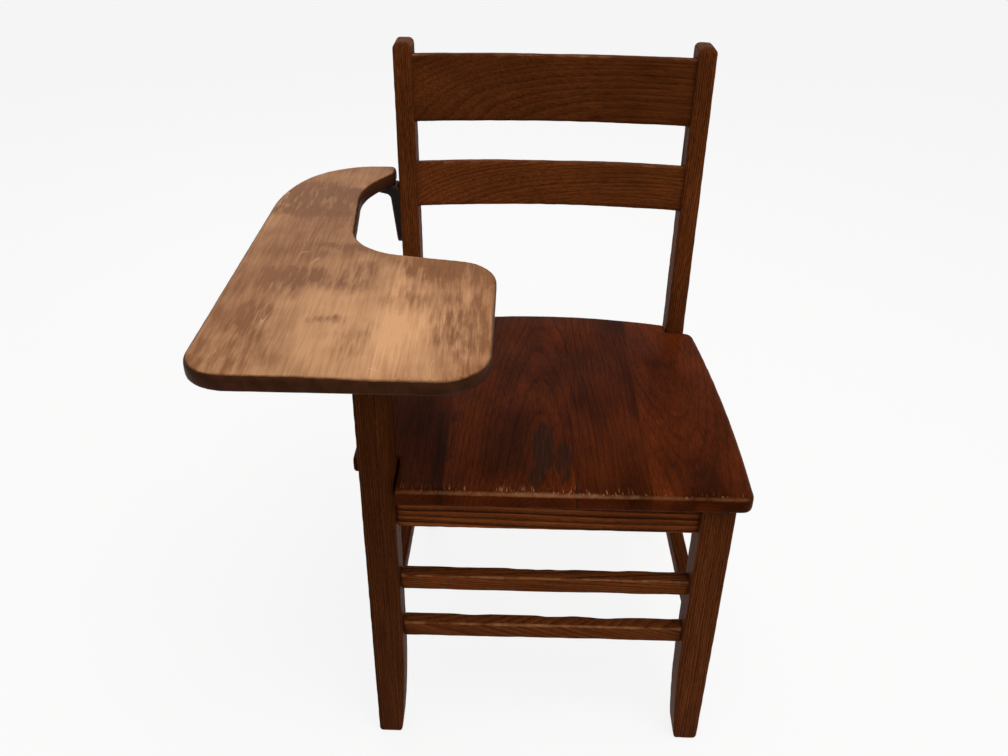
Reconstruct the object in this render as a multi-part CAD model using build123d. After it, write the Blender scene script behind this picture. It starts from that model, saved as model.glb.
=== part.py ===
from build123d import *
import os
from math import atan2, cos, degrees, hypot, radians, tan

# A school and college side chair of solid oak with a fixed writing tablet on its right-hand side.
# The sitter faces -Y, the tablet is at -X and +Z is up. While the pieces are made, X = 0 is the
# middle of the chair, Y = 0 is the front face of the front legs and Z = 0 is the floor. At the end
# everything moves to one origin: the floor point under the middle of the chair's bounding box.

os.makedirs("parts", exist_ok=True)

# Front legs. The left one runs on upwards as the arm post and carries the tablet.
FRONT_WIDTH = 445.0       # over the outer faces of the two front legs
LEG_WIDTH = 40.5
LEG_DEPTH = 44.0
LEG_BEVEL = 1.5
FOOT_WIDTH = 32.0         # the inner side tapers down to this at the floor
TAPER_HEIGHT = 175.0
FOOT_BEVEL = 3.0

# Back posts, each sawn from one plank: rear leg below, raked back post above. Both stand splayed.
POST_INNER_WIDTH = 363.6  # between the posts at the underside of the seat
POST_WIDTH = 26.0
POST_DEPTH = 45.0
POST_SETBACK = 377.0      # straight front face, where the aprons join, behind the front legs' faces
POST_HEIGHT = 845.7
POST_RAKE = 6.2           # degrees, backwards, above the seat
POST_SPLAY = 1.1          # degrees, outwards, over the whole height
POST_BEND_RADIUS = 200.0
POST_BEVEL = 2.0
POST_TOP_ROUND = 9.0
REAR_FOOT_KICK = 63.0     # the foot stands this far behind the straight stretch
REAR_FOOT_DEPTH = 33.0
STRAIGHT_MARGIN = 6.0     # straight stretch of the post above and below the apron

# Seat, edge-glued from boards whose grain runs front to back, with a shallow dish.
SEAT_HEIGHT = 445.5
SEAT_THICKNESS = 24.5
SEAT_OVERHANG = 13.5      # past the outer faces of the front legs
SEAT_LIP = 17.0           # in front of the front legs
SEAT_FRONT_CORNER = 13.0
SEAT_REAR_CORNER = 14.0
SEAT_REAR_NARROWING = 17.0  # each side curves in by this much at the back posts
SEAT_SIDE_BOW = 7.0       # how far that side bulges past a straight line
SEAT_TAIL = 44.5          # the seat's rear edge behind the posts' front faces, in the middle
SEAT_TAIL_SIDE = 22.5     # the same at the posts
SEAT_TOP_BEVEL = 4.5
SEAT_UNDER_BEVEL = 3.0
SEAT_JOINTS = (-124.0, 31.0, 120.0)
DISH_DEPTH = 5.0
DISH_WIDTH = 360.0
ARM_POST_GAP = 3.0        # saw clearance of the notch round the arm post
BACK_POST_GAP = 0.5

# Aprons under the seat and the stretchers below them.
APRON_HEIGHT = 54.0
APRON_THICKNESS = 20.0
APRON_SETBACK = 11.0      # front apron behind the front legs' front faces
STRETCHER_HEIGHT = 24.5
STRETCHER_THICKNESS = 20.0
STRETCHER_SETBACK = 12.4
UPPER_FRONT_STRETCHER = 262.0  # heights of the stretchers' undersides above the floor
LOWER_FRONT_STRETCHER = 179.0
SIDE_STRETCHER = 183.0
REAR_STRETCHER = 236.0
RAIL_BEVEL = 1.5
TENON_THICKNESS = 12.0
TENON_LENGTH = 11.0
TENON_SHOULDER = 3.5      # above and below a tenon
GLUE_SPACE = 0.8          # each mortise is this much deeper than its tenon

# Back slats, steam-bent, with their whole ends let into the posts.
SLAT_THICKNESS = 18.0
SLAT_BOW = 21.6
SLAT_SETBACK = 8.0        # behind the posts' front faces
SLAT_BEVEL = 2.5
TOP_SLAT_DROP = 15.1      # below the posts' tops
TOP_SLAT_HEIGHT = 88.8
SLAT_GAP = 55.2           # between the two slats
LOWER_SLAT_HEIGHT = 62.6

# Writing tablet, edge-glued from boards, with an elbow cut-out and a tail beside the back post.
TABLET_HEIGHT = 672.0
TABLET_THICKNESS = 19.0
TABLET_INNER = 65.7       # its edge in front of the sitter, left of the chair's middle
TABLET_WIDTH = 294.3
TABLET_OVERHANG = 139.0   # in front of the front legs
TABLET_LENGTH = 577.5     # from the front edge to the tail's rear edge
LOBE_LENGTH = 254.6       # from the front edge to where the lobe would end in a sharp corner
ELBOW_RISE = 32.0         # the cut-out's front edge slants back by this much, up to the elbow
WAIST = 105.0             # left over between the outer edge and the cut-out
WAIST_SLANT = 18.0        # the cut-out's long edge slants outwards by this much, up to the waist
WAIST_TO_TAIL = 91.5      # from the waist back to the tail's rear edge
TAIL_HOOK = 31.5          # length of the tail's straight tip
TAIL_SHOULDER = 113.0     # from the tail's rear edge forward to the start of its slanted side
TAIL_NARROWING = 46.0     # how far that side slants inwards
TABLET_TAIL_GAP = 5.7     # the tail's tip stands clear of the back post
TABLET_TOP_BEVEL = 3.5
TABLET_UNDER_BEVEL = 2.5
FRONT_CORNER = 45.0       # radii of the outline's corners
INNER_CORNER = 52.0
LOBE_CORNER = 50.0
ELBOW_RADIUS = 78.0
WAIST_RADIUS = 134.0
HOOK_RADIUS = 20.0
TIP_RADIUS = 8.0
TAIL_RADIUS = 111.0
SHOULDER_RADIUS = 225.0
TABLET_JOINTS = (68.0, 182.0)  # from the outer edge

# Cast iron angle brackets that hold the tablet to the back post and to the arm post.
BRACKET_WIDTH = 25.0
BRACKET_REACH = 44.0      # along the tablet
BRACKET_DROP = 87.0       # down the post
BRACKET_ROOT = 13.5       # thickness at the bend
BRACKET_TIP = 7.0         # thickness at the ends
BRACKET_CORNER = 4.5      # chamfer where tablet and post meet
BRACKET_FILLET = 8.0
BRACKET_SEAT = 4.5        # metal left under a screw head
TABLET_SCREW_AT = 30.0    # distances of the screws from the bend
POST_SCREWS_AT = (34.0, 66.0)

# Glued and screwed corner blocks inside the aprons.
BLOCK_LEG = 72.0
BLOCK_HEIGHT = 32.0

# Wood screws, modelled as plain prisms.
SCREW_SIDES = 12
SCREW_SHANK = 2.3         # radius
SCREW_HEAD = 4.4          # radius
SCREW_HEAD_HEIGHT = 2.8
SCREW_GAP = 0.1           # round the shank
HEAD_GAP = 0.6            # round the head, in its spot face
SCREW_ACCESS = 120.0      # clear way for the driver behind the head
TABLET_BITE = 12.0        # how deep each screw enters the second piece
POST_BITE = 17.0
SEAT_BITE = 12.0
LEG_BITE = 20.0

LEG_OUTER = FRONT_WIDTH / 2
LEG_INNER = LEG_OUTER - LEG_WIDTH
LEG_MIDDLE = LEG_OUTER - LEG_WIDTH / 2
POST_ACROSS = POST_WIDTH / cos(radians(POST_SPLAY))  # a splayed post measured on the level
POST_INNER = POST_INNER_WIDTH / 2
POST_OUTER = POST_INNER + POST_ACROSS
POST_MIDDLE = POST_INNER + POST_ACROSS / 2
SEAT_UNDERSIDE = SEAT_HEIGHT - SEAT_THICKNESS
APRON_BASE = SEAT_UNDERSIDE - APRON_HEIGHT
BEND_LOW = APRON_BASE - STRAIGHT_MARGIN
BEND_HIGH = SEAT_UNDERSIDE + STRAIGHT_MARGIN
TOP_SLAT_BASE = POST_HEIGHT - TOP_SLAT_DROP - TOP_SLAT_HEIGHT
LOWER_SLAT_BASE = TOP_SLAT_BASE - SLAT_GAP - LOWER_SLAT_HEIGHT
TABLET_UNDERSIDE = TABLET_HEIGHT - TABLET_THICKNESS
TABLET_OUTER = -TABLET_INNER - TABLET_WIDTH
TABLET_FRONT = -TABLET_OVERHANG
RAKE = tan(radians(POST_RAKE))
SPLAY = tan(radians(POST_SPLAY))
BIG = 1200.0              # larger than any piece, for cutting slabs


def post_face(z):
    """Y of the back posts' front faces at height z."""
    if z >= BEND_HIGH:
        return POST_SETBACK + (z - BEND_HIGH) * RAKE
    return POST_SETBACK + max(BEND_LOW - z, 0) / BEND_LOW * REAR_FOOT_KICK


def post_back(z):
    """Y of the back posts' rear faces at height z."""
    thinning = max(BEND_LOW - z, 0) / BEND_LOW * (POST_DEPTH - REAR_FOOT_DEPTH)
    return post_face(z) + POST_DEPTH - thinning


def post_middle(z):
    """Y of the middle of the back posts at height z."""
    return (post_face(z) + post_back(z)) / 2


def post_flare(z):
    """How far the back posts stand outwards at height z, against the underside of the seat."""
    return (z - SEAT_UNDERSIDE) * SPLAY


def slab(x_low, x_high):
    """Everything between two X values."""
    body = Box(x_high - x_low, BIG * 2, BIG * 2, align=(Align.MIN, Align.CENTER, Align.CENTER))
    return Pos(x_low, 0, 0) * body


def end_edges(piece, end):
    """The arrises round the top (-1) or the bottom (0) face."""
    return piece.faces().sort_by(Axis.Z)[end].edges()


# ---------------------------------------------------------------- legs and posts

def rounded(view, low, high, radius):
    """The view with its corners between two heights rounded."""
    return fillet(view.vertices().filter_by(lambda corner: low <= corner.Y <= high), radius)


def front_leg(side, top):
    """Square leg with a gently curved taper on its inner side."""
    outer = side * LEG_OUTER
    inner = side * LEG_INNER
    foot = side * (LEG_OUTER - FOOT_WIDTH)
    front_view = make_face(Curve() + [
        TangentArc((inner, TAPER_HEIGHT), (foot, 0), tangent=(0, -1)),
        Polyline((foot, 0), (outer, 0), (outer, top), (inner, top), (inner, TAPER_HEIGHT)),
    ])
    leg = extrude(Plane.XZ * front_view, -LEG_DEPTH)
    leg = chamfer(end_edges(leg, 0), FOOT_BEVEL)
    return chamfer(leg.edges().filter_by(lambda edge: edge.length > LEG_DEPTH + LEG_WIDTH), LEG_BEVEL)


def back_post(side):
    """Rear leg and back post in one, bent in its side view and set up with its splay."""
    heights = (-POST_WIDTH, BEND_LOW, BEND_HIGH, POST_HEIGHT)
    front = [(post_face(z), z) for z in heights]
    rear = [(post_back(z), z) for z in reversed(heights)]
    side_view = Polygon(*front, *rear, align=None)
    side_view = rounded(side_view, BEND_HIGH + STRAIGHT_MARGIN, BIG, POST_TOP_ROUND)
    side_view = rounded(side_view, 0, BEND_HIGH + STRAIGHT_MARGIN, POST_BEND_RADIUS)
    plank = extrude(Plane.YZ * side_view, POST_WIDTH / 2, both=True)
    plank = chamfer(plank.edges().filter_by(Axis.X, reverse=True), POST_BEVEL)
    pivot = Pos(side * POST_MIDDLE, 0, SEAT_UNDERSIDE) * Rot(0, side * POST_SPLAY, 0)
    post = pivot * Pos(0, 0, -SEAT_UNDERSIDE) * plank
    return post & Box(BIG, BIG, BIG, align=(Align.CENTER, Align.CENTER, Align.MIN))


# ---------------------------------------------------------------- aprons and stretchers

def bar(start, end, thickness, low, high):
    """Straight bar between two points of the plan, between two heights."""
    run = (end[0] - start[0], end[1] - start[1])
    body = Box(hypot(*run), thickness, high - low, align=(Align.MIN, Align.CENTER, Align.MIN))
    return Pos(start[0], start[1], low) * Rot(0, 0, degrees(atan2(run[1], run[0]))) * body


def stretched(start, end, extra):
    """The two points moved apart along their line, by extra at each end."""
    length = hypot(end[0] - start[0], end[1] - start[1])
    step = ((end[0] - start[0]) / length * extra, (end[1] - start[1]) / length * extra)
    return (start[0] - step[0], start[1] - step[1]), (end[0] + step[0], end[1] + step[1])


def rail(start, end, thickness, low, high, carriers):
    """Rail scribed to the two legs that carry it, with a tenon at each end, and its mortise cutter."""
    body = bar(start, end, thickness, low, high)
    along = body.edges().filter_by(lambda edge: edge.length > thickness * 4)
    body = chamfer(along, RAIL_BEVEL)
    for carrier in carriers:
        body -= carrier
    core = (TENON_THICKNESS, low + TENON_SHOULDER, high - TENON_SHOULDER)
    tenons = bar(start, end, *core)
    cutter = bar(*stretched(start, end, GLUE_SPACE), *core)
    return body + tenons, cutter


def cross_rail(y, half_gap, thickness, low, height, carriers):
    """Rail from the left leg to the right leg."""
    tip = half_gap + TENON_LENGTH
    return rail((-tip, y), (tip, y), thickness, low, low + height, carriers)


def side_rail(side, thickness, low, height, carriers):
    """Rail from a front leg to the back post behind it."""
    start = (side * LEG_MIDDLE, LEG_DEPTH - TENON_LENGTH)
    end = (side * POST_MIDDLE, post_face(low + height / 2) + TENON_LENGTH)
    return rail(start, end, thickness, low, low + height, carriers)


# ---------------------------------------------------------------- slats

def slat(base, height, extra=0.0):
    """Bent slat, square to the posts' rake. Its ends stand in the posts by a tenon's length."""
    middle = base + height / 2
    gap = POST_INNER + post_flare(middle)
    reach = gap + TENON_LENGTH + extra
    radius = (gap ** 2 + SLAT_BOW ** 2) / (2 * SLAT_BOW)
    centre = SLAT_SETBACK + SLAT_BOW - radius
    ring = Pos(0, centre) * (Circle(radius + SLAT_THICKNESS) - Circle(radius))
    plan = ring & Rectangle(reach * 2, POST_DEPTH * 2)
    body = extrude(plan, height / cos(radians(POST_RAKE)))
    body = chamfer(body.edges().filter_by(GeomType.CIRCLE), SLAT_BEVEL)
    return Pos(0, post_face(base), base) * Rot(-POST_RAKE, 0, 0) * body


# ---------------------------------------------------------------- seat

def seat_outline():
    """Plan of the seat, with open notches for the back posts at its rear corners."""
    half = LEG_OUTER + SEAT_OVERHANG
    rear_half = half - SEAT_REAR_NARROWING
    notch_y = POST_SETBACK - BACK_POST_GAP
    notch_x = POST_INNER - BACK_POST_GAP
    middle = ((half + rear_half) / 2 + SEAT_SIDE_BOW, (notch_y - SEAT_LIP) / 2)
    right = Curve() + [
        Line((0, -SEAT_LIP), (half, -SEAT_LIP)),
        ThreePointArc((half, -SEAT_LIP), middle, (rear_half, notch_y)),
        Polyline((rear_half, notch_y), (notch_x, notch_y), (notch_x, POST_SETBACK + SEAT_TAIL_SIDE)),
    ]
    rear_edge = ThreePointArc(
        (notch_x, POST_SETBACK + SEAT_TAIL_SIDE),
        (0, POST_SETBACK + SEAT_TAIL),
        (-notch_x, POST_SETBACK + SEAT_TAIL_SIDE),
    )
    plan = make_face(right + rear_edge + mirror(right, about=Plane.YZ))
    front = plan.vertices().filter_by(lambda corner: corner.Y < 0 and abs(corner.X) > LEG_INNER)
    plan = fillet(front, SEAT_FRONT_CORNER)
    for side in (-1, 1):
        rear = plan.vertices().sort_by_distance((side * rear_half, notch_y))[0]
        plan = fillet(rear, SEAT_REAR_CORNER)
    return plan


def dish():
    """Large ball that scoops the seat's shallow dish."""
    radius = ((DISH_WIDTH / 2) ** 2 + DISH_DEPTH ** 2) / (2 * DISH_DEPTH)
    middle = (POST_SETBACK + SEAT_TAIL - SEAT_LIP) / 2
    ball = Rot(90, 0, 0) * Sphere(radius)
    return Pos(0, middle, SEAT_HEIGHT - DISH_DEPTH + radius) * ball


def seat_blank():
    """The glued-up seat before it is divided into its boards."""
    blank = extrude(Pos(0, 0, SEAT_UNDERSIDE) * seat_outline(), SEAT_THICKNESS)
    blank = chamfer(end_edges(blank, -1), SEAT_TOP_BEVEL)
    blank = chamfer(end_edges(blank, 0), SEAT_UNDER_BEVEL)
    notch = Box(BIG, LEG_DEPTH + ARM_POST_GAP + BIG, BIG, align=(Align.MAX, Align.MAX, Align.CENTER))
    blank -= Pos(ARM_POST_GAP - LEG_INNER, LEG_DEPTH + ARM_POST_GAP, 0) * notch
    return blank - dish()


def boards(blank, name, joints):
    """The glued-up blank divided at its glue lines, named and numbered from the left."""
    edges = (-BIG, *joints, BIG)
    return {
        f"{name}_{number + 1}": blank & slab(edges[number], edges[number + 1])
        for number in range(len(edges) - 1)
    }


# ---------------------------------------------------------------- tablet

def tablet_outline():
    """Plan of the writing tablet: straight edges joined by arcs, from its front outer corner."""
    tip_x = -(POST_OUTER + post_flare(TABLET_UNDERSIDE)) - TABLET_TAIL_GAP
    waist_x = TABLET_OUTER + WAIST
    lobe_y = TABLET_FRONT + LOBE_LENGTH
    tail_y = TABLET_FRONT + TABLET_LENGTH
    # The tail's corner is as round as asked, or as its short rear edge leaves room for.
    rear_edge = tip_x - TIP_RADIUS - (TABLET_OUTER + TAIL_NARROWING)
    tail_turn = radians(90) - atan2(TAIL_NARROWING, TAIL_SHOULDER)
    tail_radius = min(TAIL_RADIUS, 0.98 * rear_edge / tan(tail_turn / 2))
    corners = (
        (TABLET_OUTER, TABLET_FRONT, FRONT_CORNER),
        (-TABLET_INNER, TABLET_FRONT, INNER_CORNER),
        (-TABLET_INNER, lobe_y, LOBE_CORNER),
        (waist_x + WAIST_SLANT, lobe_y + ELBOW_RISE, ELBOW_RADIUS),
        (waist_x, tail_y - WAIST_TO_TAIL, WAIST_RADIUS),
        (tip_x, tail_y - TAIL_HOOK, HOOK_RADIUS),
        (tip_x, tail_y, TIP_RADIUS),
        (TABLET_OUTER + TAIL_NARROWING, tail_y, tail_radius),
        (TABLET_OUTER, tail_y - TAIL_SHOULDER, SHOULDER_RADIUS),
    )
    plan = Polygon(*[(x, y) for x, y, radius in corners], align=None)
    for x, y, radius in corners:
        plan = fillet(plan.vertices().sort_by_distance((x, y))[0], radius)
    return plan


def tablet_blank():
    """The glued-up tablet before it is divided into its boards."""
    blank = extrude(Pos(0, 0, TABLET_UNDERSIDE) * tablet_outline(), TABLET_THICKNESS)
    blank = chamfer(end_edges(blank, -1), TABLET_TOP_BEVEL)
    return chamfer(end_edges(blank, 0), TABLET_UNDER_BEVEL)


# ---------------------------------------------------------------- screws and brackets

def prism(radius, length):
    """Many-sided rod from the origin along +Z, or along -Z where the length is negative."""
    return extrude(RegularPolygon(radius, SCREW_SIDES), length)


def screw(place, length):
    """Screw that lies along -Z of its place, with the underside of its head at the origin."""
    return place * (prism(SCREW_HEAD, SCREW_HEAD_HEIGHT) + prism(SCREW_SHANK, -length))


def screw_hole(place, length):
    """Room for that screw, and for its head to be driven home."""
    access = prism(SCREW_HEAD + HEAD_GAP, SCREW_ACCESS)
    return place * (access + prism(SCREW_SHANK + SCREW_GAP, -length - GLUE_SPACE))


def bracket(corner_x, middle_y, out, lean):
    """Cast angle bracket under the tablet. out is +1 or -1, away from its post, whose face leans."""
    foot = -lean * BRACKET_DROP
    profile = Polygon(
        (BRACKET_CORNER, 0),
        (BRACKET_REACH, 0),
        (BRACKET_REACH, -BRACKET_TIP),
        (BRACKET_ROOT, -BRACKET_ROOT),
        (foot + BRACKET_TIP, -BRACKET_DROP),
        (foot, -BRACKET_DROP),
        (-lean * BRACKET_CORNER, -BRACKET_CORNER),
        align=None,
    )
    bend = profile.vertices().sort_by_distance((BRACKET_ROOT, -BRACKET_ROOT))[0]
    profile = fillet(bend, BRACKET_FILLET)
    body = extrude(Plane.XZ * profile, BRACKET_WIDTH / 2, both=True)
    tips = body.edges().filter_by(Axis.Z).sort_by(Axis.X)[-2:]
    tips += body.edges().filter_by(Axis.X).sort_by(Axis.Z)[:2]
    body = fillet(tips, BRACKET_WIDTH * 0.4)
    if out < 0:
        body = mirror(body, about=Plane.YZ)
    return Pos(corner_x, middle_y, TABLET_UNDERSIDE) * body


def bracket_screws(corner_x, middle_y, out):
    """Places and lengths of a bracket's screws: one into the tablet, two into the post."""
    seat = TABLET_UNDERSIDE - BRACKET_SEAT
    upward = Plane((corner_x + out * TABLET_SCREW_AT, middle_y, seat), z_dir=(0, 0, -1))
    places = [(Location(upward), BRACKET_SEAT + TABLET_BITE)]
    for drop in POST_SCREWS_AT:
        origin = (corner_x + out * BRACKET_SEAT, middle_y, TABLET_UNDERSIDE - drop)
        across = Plane(origin, z_dir=(out, 0, 0))
        places.append((Location(across), BRACKET_SEAT + POST_BITE))
    return places


# ---------------------------------------------------------------- corner blocks

def corner_block(side, end, neighbours):
    """Three-cornered block scribed into the corner; end is -1 at the front and +1 at the back."""
    corner = block_corner(side, end)
    outline = Polygon(
        corner,
        (corner[0] - side * BLOCK_LEG, corner[1]),
        (corner[0], corner[1] - end * BLOCK_LEG),
        align=None,
    )
    block = extrude(Pos(0, 0, SEAT_UNDERSIDE - BLOCK_HEIGHT) * outline, BLOCK_HEIGHT, dir=(0, 0, 1))
    for neighbour in neighbours:
        block -= neighbour
    return block


def block_corner(side, end):
    """Plan point where the inner faces of the two aprons would meet."""
    if end < 0:
        return side * (LEG_MIDDLE - APRON_THICKNESS / 2), APRON_SETBACK + APRON_THICKNESS
    middle = post_middle(SEAT_UNDERSIDE - APRON_HEIGHT / 2)
    return side * (POST_MIDDLE - APRON_THICKNESS / 2), middle - APRON_THICKNESS / 2


def block_screws(side, end):
    """One screw through the block's long face into the leg, and one up into the seat."""
    x, y = block_corner(side, end)
    middle = (x - side * BLOCK_LEG / 2, y - end * BLOCK_LEG / 2)
    inward = Plane((*middle, SEAT_UNDERSIDE - BLOCK_HEIGHT / 2), z_dir=(-side, -end, 0))
    into_leg = (Location(inward), hypot(BLOCK_LEG / 2, BLOCK_LEG / 2) + LEG_BITE)
    beside = (x - side * BLOCK_LEG * 0.6, y - end * BLOCK_LEG * 0.17, SEAT_UNDERSIDE - BLOCK_HEIGHT)
    into_seat = (Location(Plane(beside, z_dir=(0, 0, -1))), BLOCK_HEIGHT + SEAT_BITE)
    return into_leg, into_seat


# ---------------------------------------------------------------- assembly

def frame():
    """Legs, posts, rails and slats, with every mortise cut."""
    arm_post = front_leg(-1, TABLET_UNDERSIDE)
    right_leg = front_leg(1, SEAT_UNDERSIDE)
    left_post = back_post(-1)
    right_post = back_post(1)
    fronts = [arm_post, right_leg]
    rears = [left_post, right_post]
    lefts = [arm_post, left_post]
    rights = [right_leg, right_post]

    front_apron_y = APRON_SETBACK + APRON_THICKNESS / 2
    front_stretcher_y = STRETCHER_SETBACK + STRETCHER_THICKNESS / 2
    rear_apron_y = post_middle(APRON_BASE + APRON_HEIGHT / 2)
    rear_stretcher_y = post_middle(REAR_STRETCHER + STRETCHER_HEIGHT / 2)
    apron = (APRON_THICKNESS, APRON_BASE, APRON_HEIGHT)
    side_stretcher = (STRETCHER_THICKNESS, SIDE_STRETCHER, STRETCHER_HEIGHT)
    upper = (STRETCHER_THICKNESS, UPPER_FRONT_STRETCHER, STRETCHER_HEIGHT)
    lower = (STRETCHER_THICKNESS, LOWER_FRONT_STRETCHER, STRETCHER_HEIGHT)
    rear = (STRETCHER_THICKNESS, REAR_STRETCHER, STRETCHER_HEIGHT)
    rails = {
        "front_apron": cross_rail(front_apron_y, LEG_INNER, *apron, fronts),
        "rear_apron": cross_rail(rear_apron_y, POST_INNER, *apron, rears),
        "side_apron_left": side_rail(-1, *apron, lefts),
        "side_apron_right": side_rail(1, *apron, rights),
        "upper_front_stretcher": cross_rail(front_stretcher_y, LEG_INNER, *upper, fronts),
        "lower_front_stretcher": cross_rail(front_stretcher_y, LEG_INNER, *lower, fronts),
        "rear_stretcher": cross_rail(rear_stretcher_y, POST_INNER, *rear, rears),
        "side_stretcher_left": side_rail(-1, *side_stretcher, lefts),
        "side_stretcher_right": side_rail(1, *side_stretcher, rights),
    }
    pieces = {
        "arm_post": arm_post,
        "front_leg": right_leg,
        "back_post_left": left_post,
        "back_post_right": right_post,
    }
    for leg in pieces:
        for body, mortise in rails.values():
            pieces[leg] -= mortise
    for post in ("back_post_left", "back_post_right"):
        pieces[post] -= slat(TOP_SLAT_BASE, TOP_SLAT_HEIGHT, GLUE_SPACE)
        pieces[post] -= slat(LOWER_SLAT_BASE, LOWER_SLAT_HEIGHT, GLUE_SPACE)
    pieces.update({name: body for name, (body, mortise) in rails.items()})
    pieces["top_slat"] = slat(TOP_SLAT_BASE, TOP_SLAT_HEIGHT)
    pieces["lower_slat"] = slat(LOWER_SLAT_BASE, LOWER_SLAT_HEIGHT)
    return pieces


def drive(pieces, group, places, names):
    """Adds one group of screws and drills the pieces that they go through."""
    pieces[group] = Compound(children=[screw(*place) for place in places])
    for name in names:
        for place in places:
            pieces[name] -= screw_hole(*place)


def chair():
    """Every piece of the chair by name."""
    pieces = frame()
    corners = {
        "corner_block_front_left": (-1, -1, ("arm_post", "front_apron", "side_apron_left")),
        "corner_block_front_right": (1, -1, ("front_leg", "front_apron", "side_apron_right")),
        "corner_block_rear_left": (-1, 1, ("back_post_left", "rear_apron", "side_apron_left")),
        "corner_block_rear_right": (1, 1, ("back_post_right", "rear_apron", "side_apron_right")),
    }
    leg_screws = []
    seat_screws = []
    for name, (side, end, neighbours) in corners.items():
        pieces[name] = corner_block(side, end, [pieces[neighbour] for neighbour in neighbours])
        into_leg, into_seat = block_screws(side, end)
        leg_screws.append(into_leg)
        seat_screws.append(into_seat)
    seat = boards(seat_blank(), "seat_board", SEAT_JOINTS)
    tablet_joints = [TABLET_OUTER + joint for joint in TABLET_JOINTS]
    tablet = boards(tablet_blank(), "tablet_board", tablet_joints)
    pieces.update(seat)
    pieces.update(tablet)

    tail_x = -(POST_OUTER + post_flare(TABLET_UNDERSIDE))
    tail_y = post_middle(TABLET_UNDERSIDE - BRACKET_DROP / 2)
    pieces["tail_bracket"] = bracket(tail_x, tail_y, -1, SPLAY)
    pieces["arm_post_bracket"] = bracket(-LEG_INNER, LEG_DEPTH / 2, 1, 0)
    tail_screws = bracket_screws(tail_x, tail_y, -1)
    arm_screws = bracket_screws(-LEG_INNER, LEG_DEPTH / 2, 1)

    legs = ("arm_post", "front_leg", "back_post_left", "back_post_right")
    drive(pieces, "block_screws", leg_screws, [*corners, *legs])
    drive(pieces, "seat_screws", seat_screws, [*corners, *seat])
    drive(pieces, "tail_bracket_screws", tail_screws, ["tail_bracket", "back_post_left", *tablet])
    drive(pieces, "arm_post_bracket_screws", arm_screws, ["arm_post_bracket", "arm_post", *tablet])
    return pieces


def main():
    """Writes one STEP file for each piece, all in the chair's own frame."""
    pieces = chair()
    box = Compound(children=[piece.moved(Location()) for piece in pieces.values()]).bounding_box()
    origin = Pos(-box.center().X, -box.center().Y, -box.min.Z)
    for name, piece in pieces.items():
        export_step(origin * piece, f"parts/{name}.step")


main()
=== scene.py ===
from math import pi

import bmesh
import bpy
import numpy as np
from mathutils import Matrix, Vector, noise


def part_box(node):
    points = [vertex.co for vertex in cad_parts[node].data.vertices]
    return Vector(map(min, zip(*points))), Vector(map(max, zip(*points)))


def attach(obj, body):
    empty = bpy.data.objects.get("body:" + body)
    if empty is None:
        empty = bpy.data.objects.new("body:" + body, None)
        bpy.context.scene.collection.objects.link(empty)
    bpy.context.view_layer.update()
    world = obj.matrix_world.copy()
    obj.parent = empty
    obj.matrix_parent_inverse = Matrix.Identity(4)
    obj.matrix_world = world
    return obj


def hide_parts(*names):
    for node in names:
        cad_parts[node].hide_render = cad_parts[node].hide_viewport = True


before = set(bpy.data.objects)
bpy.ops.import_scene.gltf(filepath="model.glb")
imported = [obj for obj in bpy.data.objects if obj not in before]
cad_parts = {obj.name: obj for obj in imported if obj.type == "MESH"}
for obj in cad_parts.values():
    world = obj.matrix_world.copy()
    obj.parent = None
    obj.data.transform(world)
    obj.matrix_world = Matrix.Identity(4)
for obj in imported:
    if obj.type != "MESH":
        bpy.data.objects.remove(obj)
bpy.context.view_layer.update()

bl_info = {
    "name": "Tablet-arm school chair",
    "version": (1, 0, 0),
    "blender": (4, 5, 0),
    "location": "3D Viewport > Sidebar > School chair",
    "description": "Dresses the school chair's oak, its worn writing tablet and its ironwork",
    "category": "Object",
}

BODY = "root"
MM = 0.001
TREE_STEP = 1370.0      # mm along the tree from one piece to the next, so that no two look alike
END_ROUND = 0.010       # radius of the feet's and the post tops' corners
KNOCK = 16.0            # length of one knock on an arris, in mm
SHOE_RUB = 40.0         # length of one hollow that shoes have rubbed, in mm
SITTER_RUB = 22.0       # length of one hollow in the seat's edge, in mm
ARM_RUB = 12.0          # length of one hollow in the tablet's rim, in mm
FEWEST_FACES = 50       # of one finished screw


def linear(code):
    """Linear RGBA of an sRGB hex colour."""
    parts = [int(code[at:at + 2], 16) / 255 for at in (0, 2, 4)]
    curved = [part / 12.92 if part <= 0.04045 else ((part + 0.055) / 1.055) ** 2.4 for part in parts]
    return (*curved, 1.0)


def size(name, description, default):
    """A length that a user may change."""
    return bpy.props.FloatProperty(
        name=name, description=description, default=default, min=0.0, precision=5, unit="LENGTH"
    )


def amount(name, description, default):
    """A share from 0 to 1 that a user may change."""
    return bpy.props.FloatProperty(
        name=name, description=description, default=default, min=0.0, max=1.0, subtype="FACTOR"
    )


def colour(name, description, code):
    """A colour that a user may change."""
    return bpy.props.FloatVectorProperty(
        name=name, description=description, default=linear(code), size=4, min=0.0, max=1.0,
        subtype="COLOR",
    )


class ChairSizes(bpy.types.PropertyGroup):
    """Sizes of the meshes, of the wear and of the small fasteners."""

    frame_grid: size("Frame mesh", "Edge length of the frame's mesh", 0.0021)
    rail_grid: size("Rail mesh", "Edge length of the rails' mesh", 0.0017)
    panel_grid: size("Panel mesh", "Edge length of the seat's and the tablet's mesh", 0.0023)
    iron_grid: size("Iron mesh", "Edge length of the brackets' mesh", 0.0011)
    arris_wear: size("Arris wear", "Most that use has taken off an arris", 0.0006)
    foot_wear: size("Foot wear", "Most that shoes have worn off the front stretchers", 0.0011)
    seat_wear: size("Seat wear", "Most that the sitter has worn off the seat's front edge", 0.0016)
    slot_width: size("Screw slot", "Width of a screw's slot", 0.0011)
    slot_depth: size("Slot depth", "Depth of a screw's slot", 0.0013)


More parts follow.
